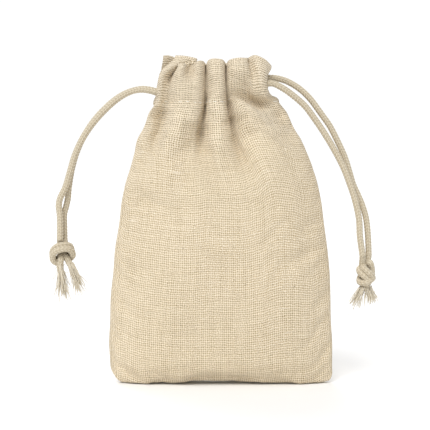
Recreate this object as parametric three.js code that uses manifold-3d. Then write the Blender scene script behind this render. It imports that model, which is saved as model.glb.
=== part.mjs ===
// Drawstring gift pouch of cotton-linen cloth, about 10 x 14 cm when empty and flat.
//
// Two panels are sewn together at the sides and the bottom. The top of each panel is turned down
// and stitched into a casing. Two cotton cords run through both casings, one pulled to the left
// and one to the right. Each cord is a loop: it turns round at the far slit and comes back, and
// its two ends are knotted together outside the near slit.
//
// Millimetres. +X is to the right seen from the front, +Y runs to the back, +Z is up.
// The origin is on the floor under the middle of the pouch.

import * as THREE from 'three';
import { mergeVertices } from 'three/addons/utils/BufferGeometryUtils.js';
import Module from 'manifold-3d';

const wasm = await Module();
wasm.setup();

// ---- General sizes -----------------------------------------------------------------------------

const gap = 0.3;                  // between pieces that touch on the real pouch
const wall = 1.0;                 // thickness of a panel

// ---- Pouch body --------------------------------------------------------------------------------

const topHeight = 136.8;          // floor to the folded top edge
const casingDepth = 20.2;         // top edge to the row of stitches under the casing
const bodyHalfWidth = 46.5;       // widest, just above the bottom corners
const bodyHalfDepth = 14.0;       // fullest, below the middle
const footHalfWidth = 42.0;       // flat that the pouch stands on
const footHalfDepth = 8.0;
const cornerHeight = 10.0;        // where the bottom corner reaches the full width
const cornerHalfDepth = 12.0;
const shoulderHalfWidth = 26.0;   // at the row of stitches
const shoulderHalfDepth = 10.2;
const neckShift = -2.0;           // the neck leans to the left of the body

// ---- Seam allowances inside --------------------------------------------------------------------

const seamThickness = 1.4;        // two layers, overlocked together
const sideSeamWidth = 6.0;
const bottomSeamHeight = 7.0;
const seamEndClearance = 3.0;     // side seam to bottom seam, and side seam to casing

// ---- Casing ------------------------------------------------------------------------------------

const neckHalfWidth = 23.0;       // slit to slit, halved
const neckLean = -2.3;            // middle of the neck, from the middle of the body
const casingEndLength = 10.0;     // the stretch at each slit that moves with a cord's bend
const casingHalfDepth = 10.0;     // middle of the neck to the valleys of the gathers
const pleatDepth = 1.0;           // gathers stand this far out of the valleys
const pleatCount = 5;
const mouthHalfDepth = 2.4;       // the mouth between the two casings
const endTaper = 1.2;             // the casing gets thinner towards the slit

// ---- Cords -------------------------------------------------------------------------------------

const cordDiameter = 2.8;
const cordSides = 8;
const cordRunDepth = 5.2;         // middle of the neck to a cord in its casing
const leftRunRise = 4.8;          // left cord above the row of stitches
const runGap = 0.6;               // between the two cords in one casing
const rightRunStep = 2.7;         // the right cord lies this much higher at the back
const tunnelSlack = 0.6;          // round the cords in the casing, away from the mouth
const tunnelInnerSlack = 0.7;     // between the cords and the casing's wall at the mouth
const bendProud = 1.2;            // how far a cord's bend stands out of the slit
const convergeLength = 20.0;      // from the slit to where a pair of strands hangs side by side

// ---- Knots and frayed ends ---------------------------------------------------------------------

const leftKnot = { halfWidth: 5.6, halfDepth: 4.8, halfHeight: 5.8 };
const rightKnot = { halfWidth: 4.2, halfDepth: 4.4, halfHeight: 6.8 };
const leftFray = { topRadius: 3.2, bottomRadius: 6.6, halfDepthShare: 0.6, height: 11.5 };
const rightFray = { topRadius: 2.6, bottomRadius: 5.2, halfDepthShare: 0.6, height: 6.6 };

// ---- Stitching ---------------------------------------------------------------------------------

const threadRadius = 0.35;
const threadClearance = 0.5;      // thread to the cloth, more than the gap because the cloth waves
const stitchRise = 1.0;           // the row lies this far above the casing's lower edge

// ---- Worked out from the sizes above -----------------------------------------------------------

const stitchHeight = topHeight - casingDepth;
const leftSlit = neckLean - neckHalfWidth;
const rightSlit = neckLean + neckHalfWidth;
const leftRun = stitchHeight + leftRunRise;
const rightFrontRun = leftRun + cordDiameter + runGap;
const rightBackRun = rightFrontRun + rightRunStep;
const tunnelLow = leftRun - cordDiameter / 2 - tunnelSlack;
const tunnelHigh = rightBackRun + cordDiameter / 2 + tunnelSlack;
const tunnelOuter = cordRunDepth + cordDiameter / 2 + tunnelSlack;
const tunnelInner = cordRunDepth - cordDiameter / 2 - tunnelInnerSlack;
const strandHalfSpacing = (cordDiameter + gap) / 2;

// Outline of the body as [height, half width, half depth]. In between, it bulges from the
// shoulder to the full size by the shares given.
function bodyLevel(heightShare, widthShare, depthShare) {
  return new THREE.Vector3(
    shoulderHalfWidth + (bodyHalfWidth - shoulderHalfWidth) * widthShare,
    shoulderHalfDepth + (bodyHalfDepth - shoulderHalfDepth) * depthShare,
    stitchHeight * heightShare,
  );
}

const bodyOutline = new THREE.CatmullRomCurve3([
  new THREE.Vector3(footHalfWidth, footHalfDepth, 0),
  new THREE.Vector3(bodyHalfWidth, cornerHalfDepth, cornerHeight),
  bodyLevel(0.26, 0.97, 1.0),
  bodyLevel(0.47, 0.89, 1.0),
  bodyLevel(0.69, 0.72, 0.8),
  bodyLevel(0.86, 0.42, 0.45),
  bodyLevel(1.0, 0.0, 0.0),
], false, 'centripetal');

// Half width (x) and half depth (y) of the body at a height, found by halving.
function bodySection(height) {
  let low = 0;
  let high = 1;
  for (let i = 0; i < 24; i += 1) {
    const middle = (low + high) / 2;
    if (bodyOutline.getPoint(middle).z < height) {
      low = middle;
    } else {
      high = middle;
    }
  }
  return bodyOutline.getPoint(low);
}

// ---- Solids: to and from the boolean library ---------------------------------------------------

function toSolid(geometry) {
  const plain = geometry.clone();
  plain.deleteAttribute('normal');
  plain.deleteAttribute('uv');
  const merged = mergeVertices(plain, 1e-5);
  return new wasm.Manifold(new wasm.Mesh({
    numProp: 3,
    vertProperties: new Float32Array(merged.attributes.position.array),
    triVerts: new Uint32Array(merged.index.array),
  }));
}

function toGeometry(solid) {
  const mesh = solid.getMesh();
  const geometry = new THREE.BufferGeometry();
  geometry.setAttribute('position', new THREE.BufferAttribute(new Float32Array(mesh.vertProperties), 3));
  geometry.setIndex(new THREE.BufferAttribute(new Uint32Array(mesh.triVerts), 1));
  geometry.computeVertexNormals();
  return geometry;
}

function block(low, high) {
  const box = new THREE.BoxGeometry(high[0] - low[0], high[1] - low[1], high[2] - low[2]);
  box.translate((low[0] + high[0]) / 2, (low[1] + high[1]) / 2, (low[2] + high[2]) / 2);
  return toSolid(box);
}

// ---- Cloth body --------------------------------------------------------------------------------

const far = 300;                  // further than any piece reaches, for cutting blocks
const ringSides = 44;
const ringRows = 22;

// The body's form, drawn in by an inset all round, between two heights: a cylinder whose rings
// take the outline's width and depth.
function bodyForm(inset, low, high) {
  const geometry = new THREE.CylinderGeometry(1, 1, 1, ringSides, ringRows);
  const position = geometry.attributes.position;
  for (let i = 0; i < position.count; i += 1) {
    const share = position.getY(i) + 0.5;
    const height = low + (high - low) * share;
    const section = bodySection(height);
    const lean = neckShift * THREE.MathUtils.smoothstep(height, cornerHeight, stitchHeight);
    position.setXYZ(
      i,
      position.getX(i) * (section.x - inset) + lean,
      -position.getZ(i) * (section.y - inset),
      height,
    );
  }
  return toSolid(geometry);
}

// One panel: half of the hollow body, front (side -1) or back (side 1).
function panel(side) {
  const outer = bodyForm(0, 0, stitchHeight - gap / 2);
  const hollow = bodyForm(wall, wall, stitchHeight + wall);
  const half = side < 0
    ? block([-far, -far, -far], [far, -gap / 2, far])
    : block([-far, gap / 2, -far], [far, far, far]);
  return toGeometry(outer.subtract(hollow).intersect(half));
}

// A side seam's allowance: a strip inside the body that follows its side.
function sideSeam(side) {
  const outside = wall + gap;
  const low = wall + gap + bottomSeamHeight + seamEndClearance;
  const high = stitchHeight - seamEndClearance;
  const strip = bodyForm(outside, low, high)
    .subtract(bodyForm(outside + sideSeamWidth, low - wall, high + wall))
    .intersect(block([-far, -seamThickness / 2, -far], [far, seamThickness / 2, far]));
  const flank = side < 0
    ? block([-far, -far, -far], [0, far, far])
    : block([0, -far, -far], [far, far, far]);
  return toGeometry(strip.intersect(flank));
}

// The bottom seam's allowance: a strip that stands on the inside of the bottom.
function bottomSeam() {
  const low = wall + gap;
  const halfLength = footHalfWidth - sideSeamWidth;
  return toGeometry(block(
    [-halfLength, -seamThickness / 2, low],
    [halfLength, seamThickness / 2, low + bottomSeamHeight],
  ));
}

// ---- Casings -----------------------------------------------------------------------------------

const middleLeft = leftSlit + casingEndLength + gap / 2;
const middleRight = rightSlit - casingEndLength - gap / 2;
const casingLow = stitchHeight + gap / 2;

// An outline in plan, raised to the height of the casing.
function raised(outline) {
  const geometry = new THREE.ExtrudeGeometry(outline, {
    depth: topHeight - casingLow,
    bevelEnabled: false,
    curveSegments: 4,
  });
  geometry.translate(0, 0, casingLow);
  return toSolid(geometry);
}

// The tunnel that the cords run in, on one side, between two distances from the middle.
function tunnel(side, left, right, inner) {
  const near = Math.min(side * inner, side * tunnelOuter);
  const away = Math.max(side * inner, side * tunnelOuter);
  return block([left, near, tunnelLow], [right, away, tunnelHigh]);
}

// The middle of a casing, with its gathers.
function casingMiddle(side) {
  const pleat = (middleRight - middleLeft) / pleatCount;
  const outline = new THREE.Shape();
  outline.moveTo(middleRight, side * mouthHalfDepth);
  outline.lineTo(middleLeft, side * mouthHalfDepth);
  outline.lineTo(middleLeft, side * casingHalfDepth);
  for (let i = 0; i < pleatCount; i += 1) {
    const start = middleLeft + i * pleat;
    outline.quadraticCurveTo(
      start + pleat / 2, side * (casingHalfDepth + 2 * pleatDepth),
      start + pleat, side * casingHalfDepth,
    );
  }
  const cut = tunnel(side, middleLeft - gap, middleRight + gap, tunnelInner);
  return toGeometry(raised(outline).subtract(cut));
}

// The end of a casing at a slit (flank -1 left, 1 right). It is open to the other casing, so
// that a cord can turn round from one to the other.
function casingEnd(side, flank) {
  const slit = flank < 0 ? leftSlit : rightSlit;
  const start = slit - flank * casingEndLength;
  const outline = new THREE.Shape();
  outline.moveTo(start, side * gap / 2);
  outline.lineTo(slit, side * gap / 2);
  outline.lineTo(slit, side * (casingHalfDepth - endTaper));
  outline.lineTo(start, side * casingHalfDepth);
  outline.closePath();
  const left = Math.min(start, slit) - gap;
  const right = Math.max(start, slit) + gap;
  return toGeometry(raised(outline).subtract(tunnel(side, left, right, 0)));
}

// The row of stitches that closes a casing: a thread along the gathers.
function stitching(side) {
  const pleat = (middleRight - middleLeft) / pleatCount;
  const points = [];
  for (let i = 0; i <= pleatCount * 2; i += 1) {
    const out = i % 2 ? pleatDepth : 0;
    points.push(new THREE.Vector3(
      middleLeft + i * pleat / 2,
      side * (casingHalfDepth + out + threadRadius + threadClearance),
      casingLow + stitchRise,
    ));
  }
  return tube(points, threadRadius, 40);
}

// ---- Cords -------------------------------------------------------------------------------------

function tube(points, radius, steps) {
  const section = new THREE.Shape();
  for (let i = 0; i < cordSides; i += 1) {
    const angle = i / cordSides * Math.PI * 2;
    const x = radius * Math.cos(angle);
    const y = radius * Math.sin(angle);
    if (i === 0) {
      section.moveTo(x, y);
    } else {
      section.lineTo(x, y);
    }
  }
  section.closePath();
  return new THREE.ExtrudeGeometry(section, {
    steps,
    extrudePath: new THREE.CatmullRomCurve3(points, false, 'centripetal'),
    bevelEnabled: false,
  });
}

// A cord's run in the casings: in at the near slit, along the front, round at the far slit
// (flank -1 left, 1 right), and back along the back.
function cordLoop(flank, frontHeight, backHeight) {
  const near = flank < 0 ? rightSlit : leftSlit;
  const farSlit = flank < 0 ? leftSlit : rightSlit;
  const centre = farSlit - flank * (cordRunDepth + cordDiameter / 2 - bendProud);
  const points = [new THREE.Vector3(near, -cordRunDepth, frontHeight)];
  const turns = 8;
  for (let i = 0; i <= turns; i += 1) {
    const angle = i / turns * Math.PI;
    points.push(new THREE.Vector3(
      centre + flank * cordRunDepth * Math.sin(angle),
      -cordRunDepth * Math.cos(angle),
      frontHeight + (backHeight - frontHeight) * i / turns,
    ));
  }
  points.push(new THREE.Vector3(near, cordRunDepth, backHeight));
  return tube(points, cordDiameter / 2, 20);
}

// The visible routes, from the slit to the knot: [out from the slit, down from the run].
const leftFrontRoute = [
  [-0.3, 0.0], [-1.5, 0.1], [-3.9, 0.7], [-7.7, 0.9], [-12.7, -0.4], [-17.9, -3.5], [-23.2, -8.3],
  [-28.0, -13.8], [-31.9, -19.7], [-34.9, -26.2], [-36.9, -32.8], [-38.8, -39.2], [-41.1, -44.0],
  [-41.7, -47.4], [-41.3, -50.9], [-41.2, -55.9], [-41.3, -61.6],
];
const leftBackRoute = [
  [-0.3, 0.0], [-1.5, 0.1], [-3.9, 0.8], [-7.7, 1.2], [-12.7, 0.2], [-17.9, -2.7], [-23.2, -7.3],
  [-27.8, -12.5], [-31.6, -18.5], [-34.6, -25.1], [-36.6, -32.0], [-37.8, -38.8], [-38.3, -44.0],
  [-39.0, -47.4], [-39.9, -50.9], [-39.9, -55.9], [-39.8, -61.6],
];
const rightFrontRoute = [
  [0.3, 0.0], [1.3, -0.1], [3.4, -1.0], [7.7, -3.6], [13.9, -8.6], [18.2, -14.0], [22.9, -20.9], [27.8, -29.2],
  [31.2, -36.1], [34.0, -43.7], [35.7, -49.3], [37.1, -56.2], [37.5, -63.1], [38.7, -71.6],
];
const rightBackRoute = [
  [0.3, 0.0], [1.3, 0.0], [4.0, -0.4], [7.9, -1.8], [12.6, -4.8], [16.9, -9.0], [21.5, -15.2], [25.2, -20.5],
  [28.6, -27.1], [31.4, -33.3], [33.3, -39.3], [34.9, -44.5], [36.9, -48.8], [38.8, -53.3],
  [40.4, -58.8], [41.2, -65.7], [41.6, -74.1],
];

// One strand from its slit to its knot. It leaves the casing at the cord's run and comes in
// towards its neighbour, to hang beside it.
function cordTail(route, side, slit, run) {
  const points = route.map(([out, down]) => {
    const spread = 1 - THREE.MathUtils.smoothstep(Math.abs(out), 0, convergeLength);
    const depth = strandHalfSpacing + (cordRunDepth - strandHalfSpacing) * spread;
    return new THREE.Vector3(slit + out, side * depth, run + down);
  });
  return tube(points, cordDiameter / 2, 14);
}

// Where a pair of strands ends: the middle of the last points, at the lower of the two.
function knotTop(frontRoute, backRoute, slit, frontRun, backRun) {
  const front = frontRoute[frontRoute.length - 1];
  const back = backRoute[backRoute.length - 1];
  return new THREE.Vector3(
    slit + (front[0] + back[0]) / 2,
    0,
    Math.min(frontRun + front[1], backRun + back[1]),
  );
}

function knot(size, top) {
  const geometry = new THREE.SphereGeometry(1, 16, 10);
  geometry.rotateX(Math.PI / 2);
  geometry.scale(size.halfWidth, size.halfDepth, size.halfHeight);
  geometry.translate(top.x, top.y, top.z - gap - size.halfHeight);
  return geometry;
}

function frayedEnd(size, knotSize, top) {
  const geometry = new THREE.CylinderGeometry(size.topRadius, size.bottomRadius, size.height, 12);
  geometry.rotateX(Math.PI / 2);
  geometry.scale(1, size.halfDepthShare, 1);
  const high = top.z - gap * 2 - knotSize.halfHeight * 2;
  geometry.translate(top.x, top.y, high - size.height / 2);
  return geometry;
}

// ---- Assembly ----------------------------------------------------------------------------------

const clothColour = 0xdbcbac;
const cordColour = 0xe9dcbc;
const threadColour = 0xf3eee2;

const pouch = new THREE.Group();

function add(name, geometry, color) {
  const material = new THREE.MeshStandardMaterial({ color, roughness: 0.95, metalness: 0 });
  const mesh = new THREE.Mesh(geometry, material);
  mesh.name = name;
  pouch.add(mesh);
}

add('front_panel', panel(-1), clothColour);
add('back_panel', panel(1), clothColour);
add('left_side_seam', sideSeam(-1), clothColour);
add('right_side_seam', sideSeam(1), clothColour);
add('bottom_seam', bottomSeam(), clothColour);

for (const [place, side] of [['front', -1], ['back', 1]]) {
  add(`${place}_casing`, casingMiddle(side), clothColour);
  add(`left_casing_${place}_end`, casingEnd(side, -1), clothColour);
  add(`right_casing_${place}_end`, casingEnd(side, 1), clothColour);
  add(`${place}_casing_stitching`, stitching(side), threadColour);
}

const leftTop = knotTop(leftFrontRoute, leftBackRoute, leftSlit, leftRun, leftRun);
add('left_cord_loop', cordLoop(1, leftRun, leftRun), cordColour);
add('left_cord_front_tail', cordTail(leftFrontRoute, -1, leftSlit, leftRun), cordColour);
add('left_cord_back_tail', cordTail(leftBackRoute, 1, leftSlit, leftRun), cordColour);
add('left_knot', knot(leftKnot, leftTop), cordColour);
add('left_frayed_end', frayedEnd(leftFray, leftKnot, leftTop), cordColour);

const rightTop = knotTop(rightFrontRoute, rightBackRoute, rightSlit, rightFrontRun, rightBackRun);
add('right_cord_loop', cordLoop(-1, rightFrontRun, rightBackRun), cordColour);
add('right_cord_front_tail', cordTail(rightFrontRoute, -1, rightSlit, rightFrontRun), cordColour);
add('right_cord_back_tail', cordTail(rightBackRoute, 1, rightSlit, rightBackRun), cordColour);
add('right_knot', knot(rightKnot, rightTop), cordColour);
add('right_frayed_end', frayedEnd(rightFray, rightKnot, rightTop), cordColour);

export default pouch;
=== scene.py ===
# %% [markdown]
# # A drawstring gift pouch in cotton-linen cloth
#
# The pouch is two panels of a coarse, undyed plain weave, sewn together at the sides and the
# bottom. Its top edge is turned down into a casing, and two round braided cotton cords run
# through it, one pulled out on each side. This lesson dresses the functional model of the pouch:
# the cords first, then the cloth, then the thread, the materials and the studio.

# %% [markdown]
# ## The frame
#
# The functional model has a plain solid for every real part, on the body that moves it. It is
# loaded first and never moved, so that every dressed piece lands where the real part is. All
# lengths below are in millimetres until a mesh is finished, because that is how cloth and cord are
# measured, and MM turns them to metres.

# %% Load the functional model
import math

import bmesh
import bpy
import numpy as np
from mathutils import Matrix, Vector


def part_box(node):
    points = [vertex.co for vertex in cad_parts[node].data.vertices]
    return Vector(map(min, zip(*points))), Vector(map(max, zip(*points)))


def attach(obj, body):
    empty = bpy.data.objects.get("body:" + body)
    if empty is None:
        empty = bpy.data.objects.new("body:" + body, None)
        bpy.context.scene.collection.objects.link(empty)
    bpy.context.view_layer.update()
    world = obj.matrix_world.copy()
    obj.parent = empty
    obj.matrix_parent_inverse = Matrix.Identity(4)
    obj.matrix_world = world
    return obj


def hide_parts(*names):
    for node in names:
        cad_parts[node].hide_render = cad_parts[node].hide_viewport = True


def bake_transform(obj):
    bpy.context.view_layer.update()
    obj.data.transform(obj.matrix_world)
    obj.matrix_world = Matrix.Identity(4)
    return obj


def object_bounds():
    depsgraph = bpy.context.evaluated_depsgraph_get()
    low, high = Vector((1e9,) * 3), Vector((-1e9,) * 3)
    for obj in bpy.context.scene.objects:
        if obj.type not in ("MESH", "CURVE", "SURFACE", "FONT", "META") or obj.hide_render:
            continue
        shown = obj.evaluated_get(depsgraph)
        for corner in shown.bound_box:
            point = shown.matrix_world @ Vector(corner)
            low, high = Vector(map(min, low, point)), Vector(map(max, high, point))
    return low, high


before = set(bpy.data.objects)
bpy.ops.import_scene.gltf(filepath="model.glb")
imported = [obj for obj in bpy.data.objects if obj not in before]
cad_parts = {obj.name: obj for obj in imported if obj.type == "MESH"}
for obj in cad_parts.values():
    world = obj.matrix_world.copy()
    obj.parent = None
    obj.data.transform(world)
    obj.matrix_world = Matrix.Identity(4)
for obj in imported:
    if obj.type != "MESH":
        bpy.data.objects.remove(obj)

cad_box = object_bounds()
MM = 0.001                # metres
SEED = 20                 # every random draw starts from this number
cad_size = [round(v / MM, 1) for v in cad_box[1] - cad_box[0]]
print("functional model:", len(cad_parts), "nodes,", cad_size, "mm")

# %% [markdown]
# ## Where things are
#
# Everything is placed from the functional model. The slits are the two openings at the sides of
# the casing, where the cords come out. The runs are the heights at which the cords lie inside
# the casing, and the run depth is how far in front of or behind the middle they lie there.

# %% Places taken from the frame
CORD_DIAMETER = 2.8
CORD_RADIUS = CORD_DIAMETER / 2
RUN_DEPTH = 5.2


def corner_mm(node, which):
    """The lowest (0) or highest (1) corner of a node, in millimetres."""
    return np.array(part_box(node)[which]) / MM


left_slit = corner_mm("left_casing_front_end", 0)[0]
right_slit = corner_mm("right_casing_front_end", 1)[0]
left_run = (corner_mm("left_cord_loop", 0)[2] + corner_mm("left_cord_loop", 1)[2]) / 2
right_front_run = corner_mm("right_cord_loop", 0)[2] + CORD_RADIUS
right_back_run = corner_mm("right_cord_loop", 1)[2] - CORD_RADIUS

# %% [markdown]
# ## The camera
#
# The pouch is seen from the front, almost level with its middle, through a long lens, so that its
# sides stay parallel.

# %% Place the camera
VIEW_CENTRE = Vector((-2.1, 0.0, 70.3)) * MM
VIEW_WIDTH = 179.3 * MM
LENS = 100.0
CAMERA_RISE = math.radians(2.5)

camera_data = bpy.data.cameras.new("studio_camera")
camera_data.lens = LENS
camera_data.sensor_width = 36.0
camera_data.clip_start = 0.01
camera_data.clip_end = 20.0
camera = bpy.data.objects.new("studio_camera", camera_data)
bpy.context.scene.collection.objects.link(camera)
distance = VIEW_WIDTH * LENS / camera_data.sensor_width
camera.location = VIEW_CENTRE + distance * Vector((0, -math.cos(CAMERA_RISE), math.sin(CAMERA_RISE)))
camera.rotation_euler = (math.pi / 2 - CAMERA_RISE, 0, 0)
bpy.context.scene.camera = camera
print("camera", round(distance, 3), "m from the pouch")

# %% [markdown]
# ## Lines and tubes
#
# Cords, yarns and stitches are all round and long. A curve with a bevel would make them quickly,
# but then their surface couldn't be shaped. Here a flat grid is rolled into a tube along a smooth
# line, and its points can lie higher or lower as the yarns do. The distance round and along the
# tube goes into its UV map in millimetres, for the materials to follow.

# %% Lines and tubes
def smooth_line(points, step):
    """A smooth line through given points, with points a step apart."""
    p = np.array(points, float)
    p = np.vstack([2 * p[0] - p[1], p, 2 * p[-1] - p[-2]])
    line = []
    for a, b, c, d in zip(p[:-3], p[1:-2], p[2:-1], p[3:]):
        for t in np.linspace(0, 1, 24, endpoint=False):
            line.append(0.5 * (2 * b + (c - a) * t + (2 * a - 5 * b + 4 * c - d) * t**2
                               + (3 * b - a - 3 * c + d) * t**3))
    line.append(p[-2])
    line = np.array(line)
    along = distance_along(line)
    even = np.linspace(0, along[-1], max(3, round(along[-1] / step) + 1))
    return np.stack([np.interp(even, along, line[:, k]) for k in range(3)], axis=1)


def distance_along(line):
    """How far each point of a line is from its start."""
    return np.concatenate([[0], np.cumsum(np.linalg.norm(np.diff(line, axis=0), axis=1))])


def line_frames(line):
    """Directions along and across a line that turn as little as they can."""
    tangents = np.gradient(line, axis=0)
    tangents /= np.linalg.norm(tangents, axis=1)[:, None]
    across = np.cross(tangents[0], (0, 0, 1) if abs(tangents[0][2]) < 0.9 else (0, 1, 0))
    frames = []
    for tangent in tangents:
        across = across - tangent * (across @ tangent)
        across /= np.linalg.norm(across)
        frames.append((across, np.cross(tangent, across)))
    return frames


def rolled_tube(line, surface, sides):
    """A closed tube: a flat grid rolled up along a line.

    surface(angle, distance) gives its radius and how high the yarn lies there, from 0 to 1.
    """
    bm = bmesh.new()
    rings = len(line)
    bmesh.ops.create_grid(bm, x_segments=sides, y_segments=rings - 1, size=1)
    frames = line_frames(line)
    along = distance_along(line)
    lift_layer = bm.verts.layers.float.new("yarn_height")
    placed = {}
    for vert in bm.verts:
        turn = (vert.co.x + 1) / 2
        ring = round((vert.co.y + 1) / 2 * (rings - 1))
        angle = turn * 2 * math.pi
        radius, lift = surface(angle % (2 * math.pi - 1e-9), along[ring])
        first, second = frames[ring]
        vert.co = Vector(line[ring] + radius * (math.cos(angle) * first + math.sin(angle) * second))
        vert[lift_layer] = lift
        placed[vert] = (turn, along[ring])
    girth = 2 * math.pi * surface(0.0, 0.0)[0]
    uv_layer = bm.loops.layers.uv.new("UVMap")
    for face in bm.faces:
        for loop in face.loops:
            turn, far = placed[loop.vert]
            loop[uv_layer].uv = (turn * girth, far)
    bmesh.ops.remove_doubles(bm, verts=bm.verts, dist=1e-4)
    bmesh.ops.holes_fill(bm, edges=[e for e in bm.edges if e.is_boundary], sides=0)
    bmesh.ops.recalc_face_normals(bm, faces=bm.faces)
    return bm


def joined_piece(name, parts):
    """One named object from bmeshes in millimetres, in place and in metres."""
    whole = bmesh.new()
    for part in parts:
        mesh = bpy.data.meshes.new("part")
        part.to_mesh(mesh)
        part.free()
        whole.from_mesh(mesh)
        bpy.data.meshes.remove(mesh)
    bmesh.ops.scale(whole, vec=(MM, MM, MM), verts=whole.verts)
    mesh = bpy.data.meshes.new(name)
    whole.to_mesh(mesh)
    whole.free()
    mesh.shade_smooth()
    piece = bpy.data.objects.new(name, mesh)
    bpy.context.scene.collection.objects.link(piece)
    return piece


def dress(piece, body, slot, *nodes):
    """Puts a piece on its body, in place of the nodes that it stands for."""
    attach(piece, body)
    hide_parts(*nodes)
    print(piece.name, "on", body, "with", len(piece.data.polygons), "faces")


# %% [markdown]
# ## A braided cord
#
# A 3 mm cotton drawcord is a round braid: soft yarns slant alternately left and right round a
# core, which shows as rows of little V shapes. It could be a plain tube with a bump map, but a
# cord is seen against the light at its edge, so the braid is made in the mesh. Each point of the
# tube is lowered between the yarns, and how high it lies is kept for the colour, which paints
# shade into the valleys between the yarns.

# %% The braid
PLAITS = 8                # columns of slanting yarns round the cord
PLAIT_PITCH = 1.3         # mm along the cord from one yarn to the next
PLAIT_RELIEF = 0.20       # mm from the valleys to the crests


def braid(radius):
    """The surface of a braided cord: its radius and yarn height at an angle and a distance."""
    def surface(angle, far):
        """The radius and the yarn height at one point of the tube."""
        column = angle / (2 * math.pi) * PLAITS
        inside = column % 1.0 - 0.5
        slant = 1 if int(column) % 2 else -1
        yarn = 0.5 + 0.5 * math.cos(2 * math.pi * (far / PLAIT_PITCH + slant * inside * 0.8))
        lift = yarn**0.6 * math.cos(math.pi * inside) ** 0.6
        return radius - PLAIT_RELIEF * (1 - lift), lift
    return surface


# %% [markdown]
# ## The cords' routes
#
# Each cord is one loop whose two ends come out of the same slit. They leave level, arch over and
# hang beside each other down to the knot. The points are given as distances out from the slit
# and down from the run, and they are the same ones that the functional model uses.

# %% Routes of the four visible strands
LEFT_FRONT_ROUTE = [
    (-0.3, 0.0), (-1.5, 0.1), (-3.9, 0.7), (-7.7, 0.9), (-12.7, -0.4), (-17.9, -3.5), (-23.2, -8.3),
    (-28.0, -13.8), (-31.9, -19.7), (-34.9, -26.2), (-36.9, -32.8), (-38.8, -39.2), (-41.1, -44.0),
    (-41.7, -47.4), (-41.3, -50.9), (-41.2, -55.9), (-41.3, -61.6),
]
LEFT_BACK_ROUTE = [
    (-0.3, 0.0), (-1.5, 0.1), (-3.9, 0.8), (-7.7, 1.2), (-12.7, 0.2), (-17.9, -2.7), (-23.2, -7.3),
    (-27.8, -12.5), (-31.6, -18.5), (-34.6, -25.1), (-36.6, -32.0), (-37.8, -38.8), (-38.3, -44.0),
    (-39.0, -47.4), (-39.9, -50.9), (-39.9, -55.9), (-39.8, -61.6),
]
RIGHT_FRONT_ROUTE = [
    (0.3, 0.0), (1.3, -0.1), (3.4, -1.0), (7.7, -3.6), (13.9, -8.6), (18.2, -14.0), (22.9, -20.9),
    (27.8, -29.2), (31.2, -36.1), (34.0, -43.7), (35.7, -49.3), (37.1, -56.2), (37.5, -63.1),
    (38.7, -71.6),
]
RIGHT_BACK_ROUTE = [
    (0.3, 0.0), (1.3, 0.0), (4.0, -0.4), (7.9, -1.8), (12.6, -4.8), (16.9, -9.0), (21.5, -15.2),
    (25.2, -20.5), (28.6, -27.1), (31.4, -33.3), (33.3, -39.3), (34.9, -44.5), (36.9, -48.8),
    (38.8, -53.3), (40.4, -58.8), (41.2, -65.7), (41.6, -74.1),
]
CONVERGE_LENGTH = 20.0    # mm from the slit to where the strands hang side by side
STRAND_HALF_SPACING = 1.55


def ease(value):
    """0 below 0, 1 above 1, and smooth between them."""
    value = np.clip(value, 0.0, 1.0)
    return value * value * (3 - 2 * value)


def tail_line(route, side, slit, run):
    """The line of one strand, from its slit to its knot."""
    points = []
    for out, down in route:
        spread = 1 - ease(abs(out) / CONVERGE_LENGTH)
        depth = STRAND_HALF_SPACING + (RUN_DEPTH - STRAND_HALF_SPACING) * spread
        points.append((slit + out, side * depth, run + down))
    return smooth_line(points, 0.25)


cord_pieces = {}
cord_lines = {}
for cord_name, side, route, slit, run in (
    ("left_cord_front_tail", -1, LEFT_FRONT_ROUTE, left_slit, left_run),
    ("left_cord_back_tail", 1, LEFT_BACK_ROUTE, left_slit, left_run),
    ("right_cord_front_tail", -1, RIGHT_FRONT_ROUTE, right_slit, right_front_run),
    ("right_cord_back_tail", 1, RIGHT_BACK_ROUTE, right_slit, right_back_run),
):
    line = tail_line(route, side, slit, run)
    piece = joined_piece("braided_" + cord_name, [rolled_tube(line, braid(CORD_RADIUS), 40)])
    dress(piece, cord_name.split("_")[0] + "_drawcord", "cotton_cord", cord_name)
    cord_pieces[cord_name] = piece
    cord_lines[cord_name] = line
    print("   its length is", round(distance_along(line)[-1], 1), "mm")

# %% [markdown]
# ## The runs inside the casing
#
# Inside the casing each cord runs along the front, turns round at the far slit and comes back
# along the back. A run only shows through its slit and in the mouth, but it gets the same braid,
# because when the cords are drawn out more of it comes to light.

# %% Cord runs with their turns
TAIL_OVERLAP = 0.45        # mm that a run reaches into the start of its tail
TURN_INSET = 1.5           # mm that a turn lies deeper in the casing than the model's solid


def loop_line(near, far, front_height, back_height, proud_edge):
    """The line of a cord in the casing, whose turn reaches to the proud edge."""
    way = 1 if far > near else -1
    centre = proud_edge - way * (RUN_DEPTH + CORD_RADIUS + TURN_INSET)
    near -= way * TAIL_OVERLAP
    points = [(near, -RUN_DEPTH, front_height), ((near + centre) / 2, -RUN_DEPTH, front_height)]
    for share in np.linspace(0, 1, 9):
        angle = share * math.pi
        height = front_height + (back_height - front_height) * share
        points.append((centre + way * RUN_DEPTH * math.sin(angle), -RUN_DEPTH * math.cos(angle), height))
    points += [((near + centre) / 2, RUN_DEPTH, back_height), (near, RUN_DEPTH, back_height)]
    return smooth_line(points, 0.35)


LOOPS = {
    "left_cord_loop": (left_slit, right_slit, left_run, left_run, corner_mm("left_cord_loop", 1)[0]),
    "right_cord_loop": (right_slit, left_slit, right_front_run, right_back_run,
                        corner_mm("right_cord_loop", 0)[0]),
}
for loop_name, ends in LOOPS.items():
    line = loop_line(*ends)
    piece = joined_piece("braided_" + loop_name, [rolled_tube(line, braid(CORD_RADIUS), 32)])
    dress(piece, loop_name.split("_")[0] + "_drawcord", "cotton_cord", loop_name)
    cord_pieces[loop_name] = piece

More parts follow.
